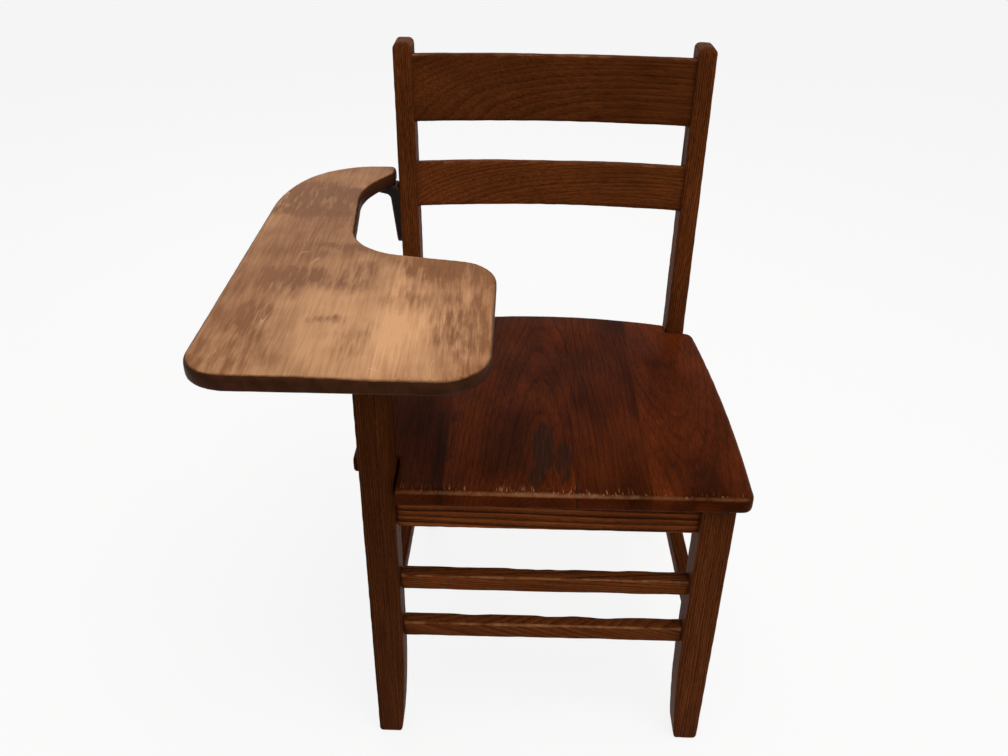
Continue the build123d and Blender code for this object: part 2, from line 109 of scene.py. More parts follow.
class ChairFinish(bpy.types.PropertyGroup):
    """Colours and shine of the finishes."""

    oak_light: colour("Oak, late wood", "Dense wood between the pores, under brown stain", "6A3617")
    oak_dark: colour("Oak, early wood", "Porous wood that has drunk the stain", "210D04")
    # Pale arris colour: oak where the stain has rubbed off, and also a painted highlight on upper arrises
    # and on the seat's front lip.
    oak_worn_and_highlight: colour("Oak, worn", "Arrises where the stain has rubbed off", "9A6A48")
    oak_shine: colour("Oak, shine", "Warm shine of old varnish", "F0B48C")
    oak_gloss: amount("Oak gloss", "How strongly the frame's varnish shines", 0.02)
    seat_light: colour("Seat, late wood", "Redder oak under thick varnish", "4B1D06")
    seat_dark: colour("Seat, early wood", "Seat's porous wood", "1B0702")
    seat_stain: colour("Seat, marks", "Black water marks in the oak", "24160D")
    seat_gloss: amount("Seat gloss", "How strongly the seat's varnish shines", 0.018)
    # Its share is highest in the middle of the tablet, where a pool of lamp light is painted in with the
    # wear.
    tablet_bare: colour("Tablet, bare wood", "Hardwood that writing arms have rubbed bare", "CB986D")
    tablet_brown: colour("Tablet, old varnish", "Varnish that is left in the grain", "805231")
    tablet_grain: colour("Tablet, grain", "Dark dashes of the grain under worn varnish", "6B472D")
    tablet_scratch: colour("Tablet, scratches", "Fresh pale scratches", "D9B58C")
    tablet_edge: colour("Tablet, edge", "Dark finish that is whole on the edges and below", "3B2012")
    tablet_shine: colour("Tablet, shine", "Pale shine of worn varnish", "F4D2B4")
    tablet_gloss: amount("Tablet gloss", "How strongly what is left of the varnish shines", 0.04)
    raw_light: colour("Raw oak", "Unfinished oak of the corner blocks", "A67B52")
    raw_dark: colour("Raw oak, early wood", "Its porous wood", "6B4A2E")
    iron: colour("Japanned iron", "Black baked lacquer on the castings", "15120F")
    rust: colour("Rust", "Brown rust on the castings' arrises", "4A2A18")
    steel: colour("Screw steel", "Blued and darkened screw heads", "57504A")
    tarnish: colour("Tarnish", "Darker patches on the screws", "2B221C")


# ---- building materials

RGBA = {"data_type": "RGBA", "out": 2}      # a Mix of colours, and its colour output


def add(tree, kind, inputs=(), out=0, **settings):
    """Adds one node, sets it up, fills its inputs and gives its output (or the node, if it has none).
    Inputs go by name or by number. A Map Range takes its value in 0, the value's range in 1 and 2 and
    the result's in 3 and 4. A colour Mix takes its share in 0 and its colours in 6 and 7."""
    node = tree.nodes.new(kind)
    for name, value in settings.items():
        setattr(node, name, value)
    for name, value in dict(inputs).items():
        if isinstance(value, bpy.types.NodeSocket):
            tree.links.new(value, node.inputs[name])
        else:
            node.inputs[name].default_value = value
    return node.outputs[out] if node.outputs else node


def empty_material(name):
    """A material with no nodes yet."""
    material = bpy.data.materials.new(name)
    material.use_nodes = True
    material.node_tree.nodes.clear()
    return material


def finish_material(tree, base, rough, height, depth, **constants):
    """Ends a material in one shader. Its constants stand on the shader's own sockets."""
    bumped = add(tree, "ShaderNodeBump", {"Height": height, "Distance": depth})
    inputs = {"Base Color": base, "Roughness": rough, "Normal": bumped}
    inputs.update({name.replace("_", " "): value for name, value in constants.items()})
    shader = add(tree, "ShaderNodeBsdfPrincipled", inputs)
    add(tree, "ShaderNodeOutputMaterial", {"Surface": shader})


def grain(tree, across, along, detail, low=0.0, high=1.0, least=0.0):
    """Noise drawn out along the log, in lines of about this many mm across and along. It goes from
    least to 1 while the noise goes from low to high."""
    log = add(tree, "ShaderNodeAttribute", attribute_name="log", out="Vector")
    place = add(tree, "ShaderNodeMapping", {"Vector": log, "Scale": (1 / across, 1 / across, 1 / along)})
    lines = add(tree, "ShaderNodeTexNoise", {"Vector": place, "Scale": 1.0, "Detail": detail})
    return add(tree, "ShaderNodeMapRange", {0: lines, 1: low, 2: high, 3: least})


def patches(tree, scale, detail, roughness=0.5):
    """Cloudy noise all over a piece, of about this many patches to the metre."""
    here = add(tree, "ShaderNodeTexCoord", out="Object")
    look = {"Vector": here, "Scale": scale, "Detail": detail, "Roughness": roughness}
    return add(tree, "ShaderNodeTexNoise", look)


def oak_figure():
    """Growth rings, pores and clouds of ring-porous oak, from where each point lay in its log, in mm.
    Each board's own vector holds its ring width in mm, how dark its rings are and how pale it is."""
    tree = bpy.data.node_groups.new("oak figure", "ShaderNodeTree")
    for name, value in (("Wobble", 12.0), ("Ripple", 1.4), ("Early share", 0.7)):
        socket = tree.interface.new_socket(name, in_out="INPUT", socket_type="NodeSocketFloat")
        socket.default_value = value
    for name in ("Early wood", "Pores", "Fibre", "Cloud", "Tone"):
        tree.interface.new_socket(name, in_out="OUTPUT", socket_type="NodeSocketFloat")
    given = add(tree, "NodeGroupInput").node.outputs
    log = add(tree, "ShaderNodeAttribute", attribute_name="log", out="Vector")
    board = add(tree, "ShaderNodeAttribute", attribute_name="board", out="Vector")
    ring, contrast, tone = add(tree, "ShaderNodeSeparateXYZ", {0: board}).node.outputs

    # The tree's slow bends and its fine ripples push each point aside, by up to half as many mm.
    moved = log
    for across, along, detail, push in ((70, 330, 1.5, given["Wobble"]), (12, 46, 3.0, given["Ripple"])):
        scale = (1 / across, 1 / across, 1 / along)
        place = add(tree, "ShaderNodeMapping", {"Vector": log, "Scale": scale})
        look = {"Vector": place, "Scale": 1.0, "Detail": detail}
        bend = add(tree, "ShaderNodeTexNoise", look, out="Color")
        bend = add(tree, "ShaderNodeVectorMath", {0: bend, 1: (0.5, 0.5, 0.5)}, operation="SUBTRACT")
        bend = add(tree, "ShaderNodeVectorMath", {0: bend, "Scale": push}, operation="SCALE")
        moved = add(tree, "ShaderNodeVectorMath", {0: moved, 1: bend}, operation="ADD")
    level = add(tree, "ShaderNodeVectorMath", {0: moved, 1: (1.0, 1.0, 0.0)}, operation="MULTIPLY")
    radius = add(tree, "ShaderNodeVectorMath", {0: level}, operation="LENGTH", out="Value")

    # Rings of uneven width: the year count runs faster and slower with the radius.
    years = add(tree, "ShaderNodeMath", {0: radius, 1: ring}, operation="DIVIDE")
    slow_years = add(tree, "ShaderNodeMath", {0: years, 1: 0.21}, operation="MULTIPLY")
    uneven = add(tree, "ShaderNodeTexNoise", {"W": slow_years, "Scale": 1.0}, noise_dimensions="1D")
    years = add(tree, "ShaderNodeMath", {0: uneven, 1: 2.6, 2: years}, operation="MULTIPLY_ADD")
    phase = add(tree, "ShaderNodeMath", {0: years}, operation="FRACT")
    year = add(tree, "ShaderNodeMath", {0: years}, operation="FLOOR")
    vigour = add(tree, "ShaderNodeTexWhiteNoise", {"W": year}, noise_dimensions="1D")
    vigour = add(tree, "ShaderNodeMapRange", {0: vigour, 3: 0.45, 4: 1.0})
    fading = add(tree, "ShaderNodeMapRange", {0: phase, 1: 0.05, 2: given["Early share"], 3: 1.0, 4: 0.0})
    starting = add(tree, "ShaderNodeMapRange", {0: phase, 1: 0.90, 2: 1.0})
    early = add(tree, "ShaderNodeMath", {0: fading, 1: starting}, operation="MAXIMUM")
    for factor in (vigour, contrast):
        early = add(tree, "ShaderNodeMath", {0: early, 1: factor}, operation="MULTIPLY")

    # Pores are 0.3 mm wide and are drawn three times as wide, so that they show.
    pore = grain(tree, 1.0, 9, 2.0, 0.49, 0.59)
    crowd = add(tree, "ShaderNodeMapRange", {0: early, 3: 0.30, 4: 1.0})
    pores = add(tree, "ShaderNodeMath", {0: pore, 1: crowd}, operation="MULTIPLY")
    cloud = grain(tree, 55, 150, 4.0, 0.32, 0.68)
    fibre = grain(tree, 1.5, 60, 2.0, 0.34, 0.66)
    found = {"Early wood": early, "Pores": pores, "Fibre": fibre, "Cloud": cloud, "Tone": tone}
    add(tree, "NodeGroupOutput", found)
    return tree


def oak_colour(tree, figure, light, dark, least, most):
    """Oak's colour from its figure: dark early wood and pores, fine fibres, and a cloudy stain that
    takes this least and most share of the light."""
    early = figure["Early wood"]
    base = add(tree, "ShaderNodeMix", {0: early, 6: light, 7: dark}, **RGBA)
    pores = add(tree, "ShaderNodeMath", {0: figure["Pores"], 1: 0.75}, operation="MULTIPLY")
    base = add(tree, "ShaderNodeMix", {0: pores, 6: base, 7: dark}, **RGBA)
    shade = add(tree, "ShaderNodeMapRange", {0: figure["Cloud"], 3: least, 4: most})
    fibre = add(tree, "ShaderNodeMapRange", {0: figure["Fibre"], 3: 0.76, 4: 1.26})
    for factor in (fibre, figure["Tone"]):
        shade = add(tree, "ShaderNodeMath", {0: shade, 1: factor}, operation="MULTIPLY")
    return add(tree, "ShaderNodeVectorMath", {0: base, "Scale": shade}, operation="SCALE")


def rubbed(tree, low, high):
    """How far an arris takes its worn colour, in patches a few mm long. On the oak that colour is
    rubbed-through wood and also a painted highlight; on the iron it is rust.
    """
    worn = add(tree, "ShaderNodeAttribute", attribute_name="arris", out="Fac")
    chipped = patches(tree, 55.0, 5.0, 0.65)
    mark = add(tree, "ShaderNodeMath", {0: chipped, 1: worn}, operation="MULTIPLY")
    return add(tree, "ShaderNodeMapRange", {0: mark, 1: low, 2: high})


def satin_stained_oak(finish, figure_tree):
    """Red oak, machine-planed, under brown stain and thin worn varnish: bold dark pore bands, open pores
    and arrises rubbed back to lighter wood, their paleness partly a painted highlight, with a dull satin
    shine."""
    tree = empty_material("satin_stained_oak").node_tree
    figure = add(tree, "ShaderNodeGroup", node_tree=figure_tree).node.outputs
    base = oak_colour(tree, figure, finish.oak_light, finish.oak_dark, 0.78, 1.2)
    # Pale arrises: rubbed-through stain, and partly a painted highlight.
    worn = rubbed(tree, 0.30, 0.72)
    base = add(tree, "ShaderNodeMix", {0: worn, 6: base, 7: finish.oak_worn_and_highlight}, **RGBA)
    rough = add(tree, "ShaderNodeMapRange", {0: figure["Early wood"], 3: 0.50, 4: 0.66})
    height = add(tree, "ShaderNodeMath", {0: 1.0, 1: figure["Pores"]}, operation="SUBTRACT")
    finish_material(
        tree, base, rough, height, 0.25 * MM,
        Specular_IOR_Level=finish.oak_gloss, Specular_Tint=finish.oak_shine,
    )


def varnished_seat_oak(finish, figure_tree):
    """Plain-sawn red oak under thick reddish varnish, polished by sitting: tall cathedral figure, black
    water marks near the front, a worn and scuffed front edge whose pale lip is partly a painted
    highlight, and a clear shine."""
    tree = empty_material("varnished_seat_oak").node_tree
    figure = add(tree, "ShaderNodeGroup", node_tree=figure_tree).node
    for name, value in {"Wobble": 16.0, "Ripple": 2.0, "Early share": 0.34}.items():
        figure.inputs[name].default_value = value
    figure = figure.outputs
    base = oak_colour(tree, figure, finish.seat_light, finish.seat_dark, 0.52, 1.56)
    ragged = grain(tree, 2.5, 60, 5.0)

    torn = {}
    for name, low, high, most in (("mark", 0.33, 0.52, 0.9), ("scuff", 0.50, 0.62, 0.8)):
        field = add(tree, "ShaderNodeAttribute", attribute_name=name, out="Fac")
        field = add(tree, "ShaderNodeMath", {0: field, 1: ragged}, operation="MULTIPLY")
        torn[name] = add(tree, "ShaderNodeMapRange", {0: field, 1: low, 2: high, 4: most})
    base = add(tree, "ShaderNodeMix", {0: torn["mark"], 6: base, 7: finish.seat_stain}, **RGBA)
    # The pale arrises and lip are wear and partly a painted highlight.
    worn = {0: rubbed(tree, 0.14, 0.76), 1: torn["scuff"]}
    worn = add(tree, "ShaderNodeMath", worn, operation="MAXIMUM")
    base = add(tree, "ShaderNodeMix", {0: worn, 6: base, 7: finish.oak_worn_and_highlight}, **RGBA)

    smears = patches(tree, 9.0, 6.0, 0.6)
    rough = add(tree, "ShaderNodeMapRange", {0: smears, 1: 0.3, 2: 0.7, 3: 0.34, 4: 0.52})
    height = add(tree, "ShaderNodeMath", {0: 1.0, 1: figure["Pores"]}, operation="SUBTRACT")
    finish_material(
        tree, base, rough, height, 0.12 * MM,
        Specular_IOR_Level=finish.seat_gloss, Specular_Tint=finish.oak_shine,
    )


def rubbed_tablet_hardwood(finish):
    """Close-grained hardwood, sanded and varnished, then rubbed nearly bare by writing arms: pale
    fine-streaked wood on top, palest in the middle where a pool of lamp light is painted in with the
    wear, brown clouds and scratches, dark old finish on the edges and below, and a painted highlight
    where the pale top reaches over the front and right arrises."""
    tree = empty_material("rubbed_tablet_hardwood").node_tree
    here = add(tree, "ShaderNodeTexCoord", out="Object")
    mark = add(tree, "ShaderNodeAttribute", attribute_name="mark", out="Fac")

    # Fibres are drawn about 2.4 mm wide, so that they show. Bands of growth run along the boards.
    fibre = grain(tree, 2.4, 50, 4.0, 0.35, 0.66)
    band = grain(tree, 16, 300, 3.0, 0.33, 0.67)
    clouds = add(tree, "ShaderNodeMapRange", {0: patches(tree, 12.0, 5.0), 1: 0.36, 2: 0.64})
    ragged = grain(tree, 6, 34, 6.0, 0.38, 0.62, 0.1)
    streaked = add(tree, "ShaderNodeMath", {0: mark, 1: ragged}, operation="MULTIPLY")

    # How much of the brown varnish is left: each pattern holds it by its own share.
    # The bare value is partly wear and partly a painted pool of lamp light, highest in the middle of the
    # board.
    bare = add(tree, "ShaderNodeAttribute", attribute_name="bare", out="Fac")
    varnish = add(tree, "ShaderNodeMapRange", {0: bare, 3: 0.36, 4: -0.32})
    for pattern, share in ((clouds, 0.38), (fibre, 0.26), (band, 0.20), (streaked, 0.85)):
        held = {0: pattern, 1: share, 2: varnish}
        varnish = add(tree, "ShaderNodeMath", held, operation="MULTIPLY_ADD")
    varnish = add(tree, "ShaderNodeClamp", {"Value": varnish})
    top = {0: varnish, 6: finish.tablet_bare, 7: finish.tablet_brown}
    top = add(tree, "ShaderNodeMix", top, **RGBA)

    # Dark dashes of the grain show in the middle of a mark.
    dashes = grain(tree, 1.6, 30, 2.0, 0.42, 0.64)
    strength = add(tree, "ShaderNodeMapRange", {0: mark, 1: 0.45, 2: 0.9, 3: 0.05, 4: 0.95})
    dashes = add(tree, "ShaderNodeMath", {0: dashes, 1: strength}, operation="MULTIPLY")
    dark = add(tree, "ShaderNodeMath", {0: dashes, 1: 0.7}, operation="MULTIPLY")
    top = add(tree, "ShaderNodeMix", {0: dark, 6: top, 7: finish.tablet_grain}, **RGBA)

    # Scratches are thin level lines of two stretched noises, broken up into short lengths.
    for turn, scale in ((0.5, 9.0), (-0.9, 7.0)):
        lie = {"Vector": here, "Rotation": (0.0, 0.0, turn), "Scale": (scale * 4, scale * 0.8, 1.0)}
        lie = add(tree, "ShaderNodeMapping", lie)
        field = add(tree, "ShaderNodeTexNoise", {"Vector": lie, "Scale": 1.0, "Detail": 0.0})
        line = add(tree, "ShaderNodeMath", {0: field, 1: 0.5, 2: 0.0022}, operation="COMPARE")
        keep = add(tree, "ShaderNodeTexNoise", {"Vector": lie, "Scale": 2.3, "Detail": 1.0})
        keep = add(tree, "ShaderNodeMapRange", {0: keep, 1: 0.60, 2: 0.66, 4: 0.35})
        line = add(tree, "ShaderNodeMath", {0: line, 1: keep}, operation="MULTIPLY")
        top = add(tree, "ShaderNodeMix", {0: line, 6: top, 7: finish.tablet_scratch}, **RGBA)
    board = add(tree, "ShaderNodeAttribute", attribute_name="board", out="Vector")
    tone = add(tree, "ShaderNodeSeparateXYZ", {0: board}, out="Z")
    top = add(tree, "ShaderNodeVectorMath", {0: top, "Scale": tone}, operation="SCALE")

    # The dark finish is whole wherever the surface turns away from level. Over the front and right
    # arrises the pale top reaches further, partly as a painted highlight.
    level = add(tree, "ShaderNodeAttribute", attribute_name="level", out="Fac")
    level = {0: patches(tree, 70.0, 4.0), 1: 0.25, 2: level}
    level = add(tree, "ShaderNodeMath", level, operation="MULTIPLY_ADD")
    level = add(tree, "ShaderNodeMapRange", {0: level, 1: 0.40, 2: 0.74})
    shade = add(tree, "ShaderNodeMapRange", {0: band, 3: 0.75, 4: 1.2})
    edge = {0: finish.tablet_edge[:3], "Scale": shade}
    edge = add(tree, "ShaderNodeVectorMath", edge, operation="SCALE")
    base = add(tree, "ShaderNodeMix", {0: level, 6: edge, 7: top}, **RGBA)
    rough = add(tree, "ShaderNodeMapRange", {0: varnish, 3: 0.56, 4: 0.42})
    height = add(tree, "ShaderNodeMath", {0: 1.0, 1: dashes}, operation="SUBTRACT")
    finish_material(
        tree, base, rough, height, 0.15 * MM,
        Specular_IOR_Level=finish.tablet_gloss, Specular_Tint=finish.tablet_shine,
    )


def sawn_bare_oak(finish, figure_tree):
    """Oak left as sawn inside the aprons: pale, dusty and matt, with fine saw marks."""
    tree = empty_material("sawn_bare_oak").node_tree
    figure = add(tree, "ShaderNodeGroup", node_tree=figure_tree).node.outputs
    base = oak_colour(tree, figure, finish.raw_light, finish.raw_dark, 0.85, 1.1)
    here = add(tree, "ShaderNodeTexCoord", out="Object")
    look = {"Vector": here, "Scale": 120.0, "Distortion": 3.0}
    saw = add(tree, "ShaderNodeTexWave", look, wave_type="BANDS")
    rough = add(tree, "ShaderNodeMapRange", {0: saw, 3: 0.75, 4: 0.9})
    finish_material(tree, base, rough, saw, 0.08 * MM, IOR=1.45)


def japanned_iron(finish):
    """Sand-cast iron under black baked lacquer: pebbled skin, half shine, brown rust on worn arrises."""
    tree = empty_material("japanned_iron").node_tree
    skin = patches(tree, 900.0, 3.0)
    rust = rubbed(tree, 0.16, 0.40)
    base = add(tree, "ShaderNodeMix", {0: rust, 6: finish.iron, 7: finish.rust}, **RGBA)
    rough = add(tree, "ShaderNodeMapRange", {0: rust, 3: 0.38, 4: 0.8})
    finish_material(tree, base, rough, skin, 0.2 * MM, IOR=1.5, Specular_IOR_Level=0.12)


def darkened_steel(finish):
    """Machined screw steel, blued and then darkened by age: uneven tarnish and a dull metal shine."""
    tree = empty_material("darkened_steel").node_tree
    dull = patches(tree, 600.0, 4.0)
    base = add(tree, "ShaderNodeMix", {0: dull, 6: finish.steel, 7: finish.tarnish}, **RGBA)
    rough = add(tree, "ShaderNodeMapRange", {0: dull, 3: 0.28, 4: 0.6})
    finish_material(tree, base, rough, dull, 0.05 * MM, Metallic=1.0)


def finish_for(name):
    """The named material, made with the others the first time that one is asked for."""
    if name not in bpy.data.materials:
        finish = bpy.context.scene.chair_finish
        figure_tree = oak_figure()
        satin_stained_oak(finish, figure_tree)
        varnished_seat_oak(finish, figure_tree)
        rubbed_tablet_hardwood(finish)
        sawn_bare_oak(finish, figure_tree)
        japanned_iron(finish)
        darkened_steel(finish)
    return bpy.data.materials[name]


# ---- shaping pieces

def welded(nodes):
    """The CAD nodes' own shape, its seams joined."""
    form = bmesh.new()
    for node in nodes:
        form.from_mesh(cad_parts[node].data)
    bmesh.ops.remove_doubles(form, verts=form.verts, dist=0.01 * MM)
    return form


def placed(name, data):
    """A new object in the scene."""
    thing = bpy.data.objects.new(name, data)
    bpy.context.scene.collection.objects.link(thing)
    return thing


def worked_in(piece):
    """The piece's new mesh, with its modifiers worked into it and taken off."""
    bare = piece.data
    shape = piece.evaluated_get(bpy.context.evaluated_depsgraph_get())
    mesh = bpy.data.meshes.new_from_object(shape)
    piece.modifiers.clear()
    piece.data = mesh
    bpy.data.meshes.remove(bare)
    return mesh


def unit(values):
    """The values, held between 0 and 1."""
    return np.clip(values, 0.0, 1.0)


def evened(name, nodes, grid, easing):
    """One closed, even mesh of the CAD nodes' shape, its arrises eased by this many rounds."""
    form = welded(nodes)
    bare = bpy.data.meshes.new(name)
    form.to_mesh(bare)
    form.free()
    piece = placed(name, bare)
    even = piece.modifiers.new("even", "REMESH")
    even.mode = "VOXEL"
    even.voxel_size = grid
    ease = piece.modifiers.new("ease", "SMOOTH")
    ease.factor = 0.5
    ease.iterations = easing
    mesh = worked_in(piece)
    mesh.name = name
    mesh.materials.clear()
    mesh.shade_smooth()
    return piece


def points_of(mesh, what="co", of="vertices"):
    """A three-part value of every vertex or face, as an array."""
    values = np.empty(len(getattr(mesh, of)) * 3, np.float32)
    getattr(mesh, of).foreach_get(what, values)
    return values.reshape(-1, 3).astype(float)


def spread(values, edges, rounds):
    """The values averaged with their neighbours' a number of times."""
    count = np.bincount(edges.ravel(), minlength=len(values))
    for _ in range(rounds):
        total = np.stack([
            np.bincount(edges[:, 0], values[edges[:, 1], part], len(values))
            + np.bincount(edges[:, 1], values[edges[:, 0], part], len(values))
            for part in range(values.shape[1])
        ], axis=1)
        values = total / count[:, None]
    return values


def edges_of(mesh):
    """The two vertices of every edge, as an array."""
    edges = np.empty(len(mesh.edges) * 2, np.int32)
    mesh.edges.foreach_get("vertices", edges)
    return edges.reshape(-1, 2)


def arrises(mesh, grid):
    """1 on the arrises, which bulge by a fifth of the grid or more, and 0 on faces and in hollows."""
    edges = edges_of(mesh)
    places = points_of(mesh)
    normals = points_of(mesh, "vector", "vertex_normals")
    bulge = ((places - spread(places, edges, 2)) * normals).sum(axis=1) / grid
    soft = spread(unit(bulge)[:, None] * 5.0, edges, 1)[:, 0]
    return unit(soft)


def give(mesh, name, values, domain="POINT"):
    """Keeps a number or a vector for every vertex or face corner."""
    kind = "FLOAT_VECTOR" if values.ndim == 2 else "FLOAT"
    layer = mesh.attributes.new(name, kind, domain)
    layer.data.foreach_set("vector" if values.ndim == 2 else "value", values.astype(np.float32).ravel())


def log_place(places, middle, along, pith, lean, number):
    """Where each point lay in its tree, in mm: two distances from the pith, and one along it. The pith
    lay this many mm from the piece's middle and leans by this many mm for each mm of length."""
    local = (places - middle) / MM
    others = [axis for axis in range(3) if axis != along]
    length = local[:, along]
    first = local[:, others[0]] - pith[0] + lean[0] * length
    second = local[:, others[1]] - pith[1] + lean[1] * length
    return np.stack((first, second, length + number * TREE_STEP), axis=1)


def worn_down(mesh, arris, depth, knock):
    """Takes up to this depth off the arrises, unevenly, in knocks and rubs of about this many mm."""
    places = points_of(mesh)
    normals = points_of(mesh, "vector", "vertex_normals")
    # Broad knocks carry finer ones. Spreading thins what is taken, so it's made up for at the end.
    taken = np.zeros((len(places), 1))
    for at in np.flatnonzero(arris > 0.15):
        here = Vector(places[at]) / (knock * MM)
        bump = noise.noise(here) + 0.4 * noise.noise(here * 2.7)
        taken[at] = arris[at] * depth[at] * max(bump + 0.3, 0.0)
    places -= normals * spread(taken, edges_of(mesh), 3) * 1.6
    mesh.vertices.foreach_set("co", places.ravel())
    mesh.update()


def rounded_end(mesh, end, radius):
    """Rounds both sides of an upright stick's top (end 1) or foot (end -1) to this radius, from its
    width in the 5 mm next to the rounding."""
    places = points_of(mesh)
    height = places[:, 2] * end
    start = height.max() - radius
    ring = (height < start) & (height > start - 0.005)
    middle = (places[ring, 0].max() + places[ring, 0].min()) / 2
    half = (places[ring, 0].max() - places[ring, 0].min()) / 2
    aside = places[:, 0] - middle
    over = (np.abs(aside) - (half - radius)) / radius
    rise = (height - start) / radius
    reach = np.hypot(over, rise)
    outside = (over > 0) & (rise > 0) & (reach > 1)
    flat = np.sign(aside) * (half - radius + over / np.maximum(reach, 1) * radius)
    places[outside, 0] = middle + flat[outside]
    places[outside, 2] = (end * (start + rise / np.maximum(reach, 1) * radius))[outside]
    mesh.vertices.foreach_set("co", places.ravel())
    mesh.update()


def seat_piece(piece, nodes, material):
    """Puts a finished piece in the place of its CAD nodes."""
    piece.data.materials.append(finish_for(material))
    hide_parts(*nodes)
    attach(piece, BODY)


def timber(
    node, grid, along, pith, lean, number, board=(2.4, 0.75, 1.0), rub_and_highlight=0.45,
    material="satin_stained_oak", ends=(), extra=None,
):
    """Dresses one stick of wood in place of its CAD node. It runs along this axis. board is its ring
    width in mm, its rings' darkness and its paleness, which on the arm post also paints the tablet's
    shadow; the rub share sets how pale its arrises are painted, partly as wear and partly as a painted
    highlight that is strongest on upward-facing arrises; ends lists which to round, and extra gives the
    depth that shoes add to the wear at each place."""
    sizes = bpy.context.scene.chair_sizes
    piece = evened(node + "_oak", [node], grid, easing=4)
    mesh = piece.data
    for end in ends:
        rounded_end(mesh, end, END_ROUND)
    low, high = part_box(node)
    arris = arrises(mesh, grid)
    places = points_of(mesh)
    upward = unit(points_of(mesh, "vector", "vertex_normals")[:, 2] * 2)
    depth = np.full(len(places), sizes.arris_wear)
    # Upward-facing arrises get more of the pale colour: wear, and a painted highlight where overhead
    # light would catch them.
    rubbing_and_highlight = rub_and_highlight * (0.5 + 0.5 * upward)
    if extra is not None:
        depth += extra(places)
        rubbing_and_highlight += extra(places) / sizes.foot_wear * 0.5
    give(mesh, "log", log_place(places, np.array((low + high) / 2), along, pith, lean, number))
    give(mesh, "board", np.tile(board, (len(places), 1)))
    give(mesh, "arris", unit(arris**2 * rubbing_and_highlight))
    worn_down(mesh, arris, depth, KNOCK if extra is None else SHOE_RUB)
    seat_piece(piece, [node], material)


def panel(name, nodes, grid, piths, leans, boards):
    """Boards glued edge to edge, left to right, as one panel. Each keeps the grain of its own tree."""
    piece = evened(name, nodes, grid, easing=3)
    mesh = piece.data
    corner_vertex = np.empty(len(mesh.loops), np.int32)
    mesh.loops.foreach_get("vertex_index", corner_vertex)
    face_middle = points_of(mesh, "center", "polygons")
    sides = np.empty(len(mesh.polygons), np.int32)
    mesh.polygons.foreach_get("loop_total", sides)
    corner_x = np.repeat(face_middle[:, 0], sides)
    corners = points_of(mesh)[corner_vertex]
    log = np.zeros((len(corners), 3))
    board = np.zeros((len(corners), 3))
    for number, (node, pith, lean) in enumerate(zip(nodes, piths, leans)):
        low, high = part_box(node)
        inside = (corner_x > low.x) | (number == 0)
        middle = np.array((low + high) / 2)
        log[inside] = log_place(corners[inside], middle, 1, pith, lean, number + 20)
        board[inside] = boards[number]
    give(mesh, "log", log, "CORNER")
    give(mesh, "board", board, "CORNER")
    return piece


def marks(places, corner, spots, wander, fade):
    """How marked each place is by spots of (x, y, half width, half length, strength), in mm from this
    corner. The broad ones' outlines wander by this many mm, in bends of about 35 mm. A fade of 0.4 is
    a firm edge and 1.6 is a soft dome."""
    drift = np.array([noise.noise_vector(Vector(place) / (35 * MM)) for place in places])
    total = np.zeros(len(places))
    for x, y, across, along, strength in spots:
        flat = places[:, :2] / MM + drift[:, :2] * wander * min(across / 10, 1)
        aside = (flat[:, 0] - (corner[0] + x)) / across
        ahead = (flat[:, 1] - (corner[1] + y)) / along
        reach = aside**2 + ahead**2
        total = np.maximum(total, strength * unit((1.6 - reach) / fade))
    return total


# ---- operators

class CHAIR_OT_legs(bpy.types.Operator):
    """Dresses the front leg, the arm post and the two back posts"""

    bl_idname = "chair.legs"
    bl_label = "Legs and posts"

    def execute(self, context):
        grid = context.scene.chair_sizes.frame_grid
        # Rift-sawn sticks: the pith lies well to one side, so the faces show close upright lines.
        # Each has its pith, its lean, its board and its rounded ends.
        foot = (-1,)
        both = (1, -1)
        sticks = (
            # The arm post's low paleness of 0.58 is partly its board and partly painted shade from the
            # tablet above.
            ("arm_post", (150, 30), (0.006, 0.0), (2.3, 0.75, 0.58), foot),
            ("front_leg", (-110, 60), (0.012, 0.02), (2.6, 0.75, 0.78), foot),
            ("back_post_left", (120, 15), (0.02, 0.0), (2.2, 0.7, 0.88), both),
            ("back_post_right", (-130, 15), (-0.02, 0.0), (2.4, 0.8, 0.86), both),
        )
        for number, (node, pith, lean, board, ends) in enumerate(sticks):
            timber(node, grid, 2, pith, lean, number, board, rub_and_highlight=0.35, ends=ends)
        return {"FINISHED"}


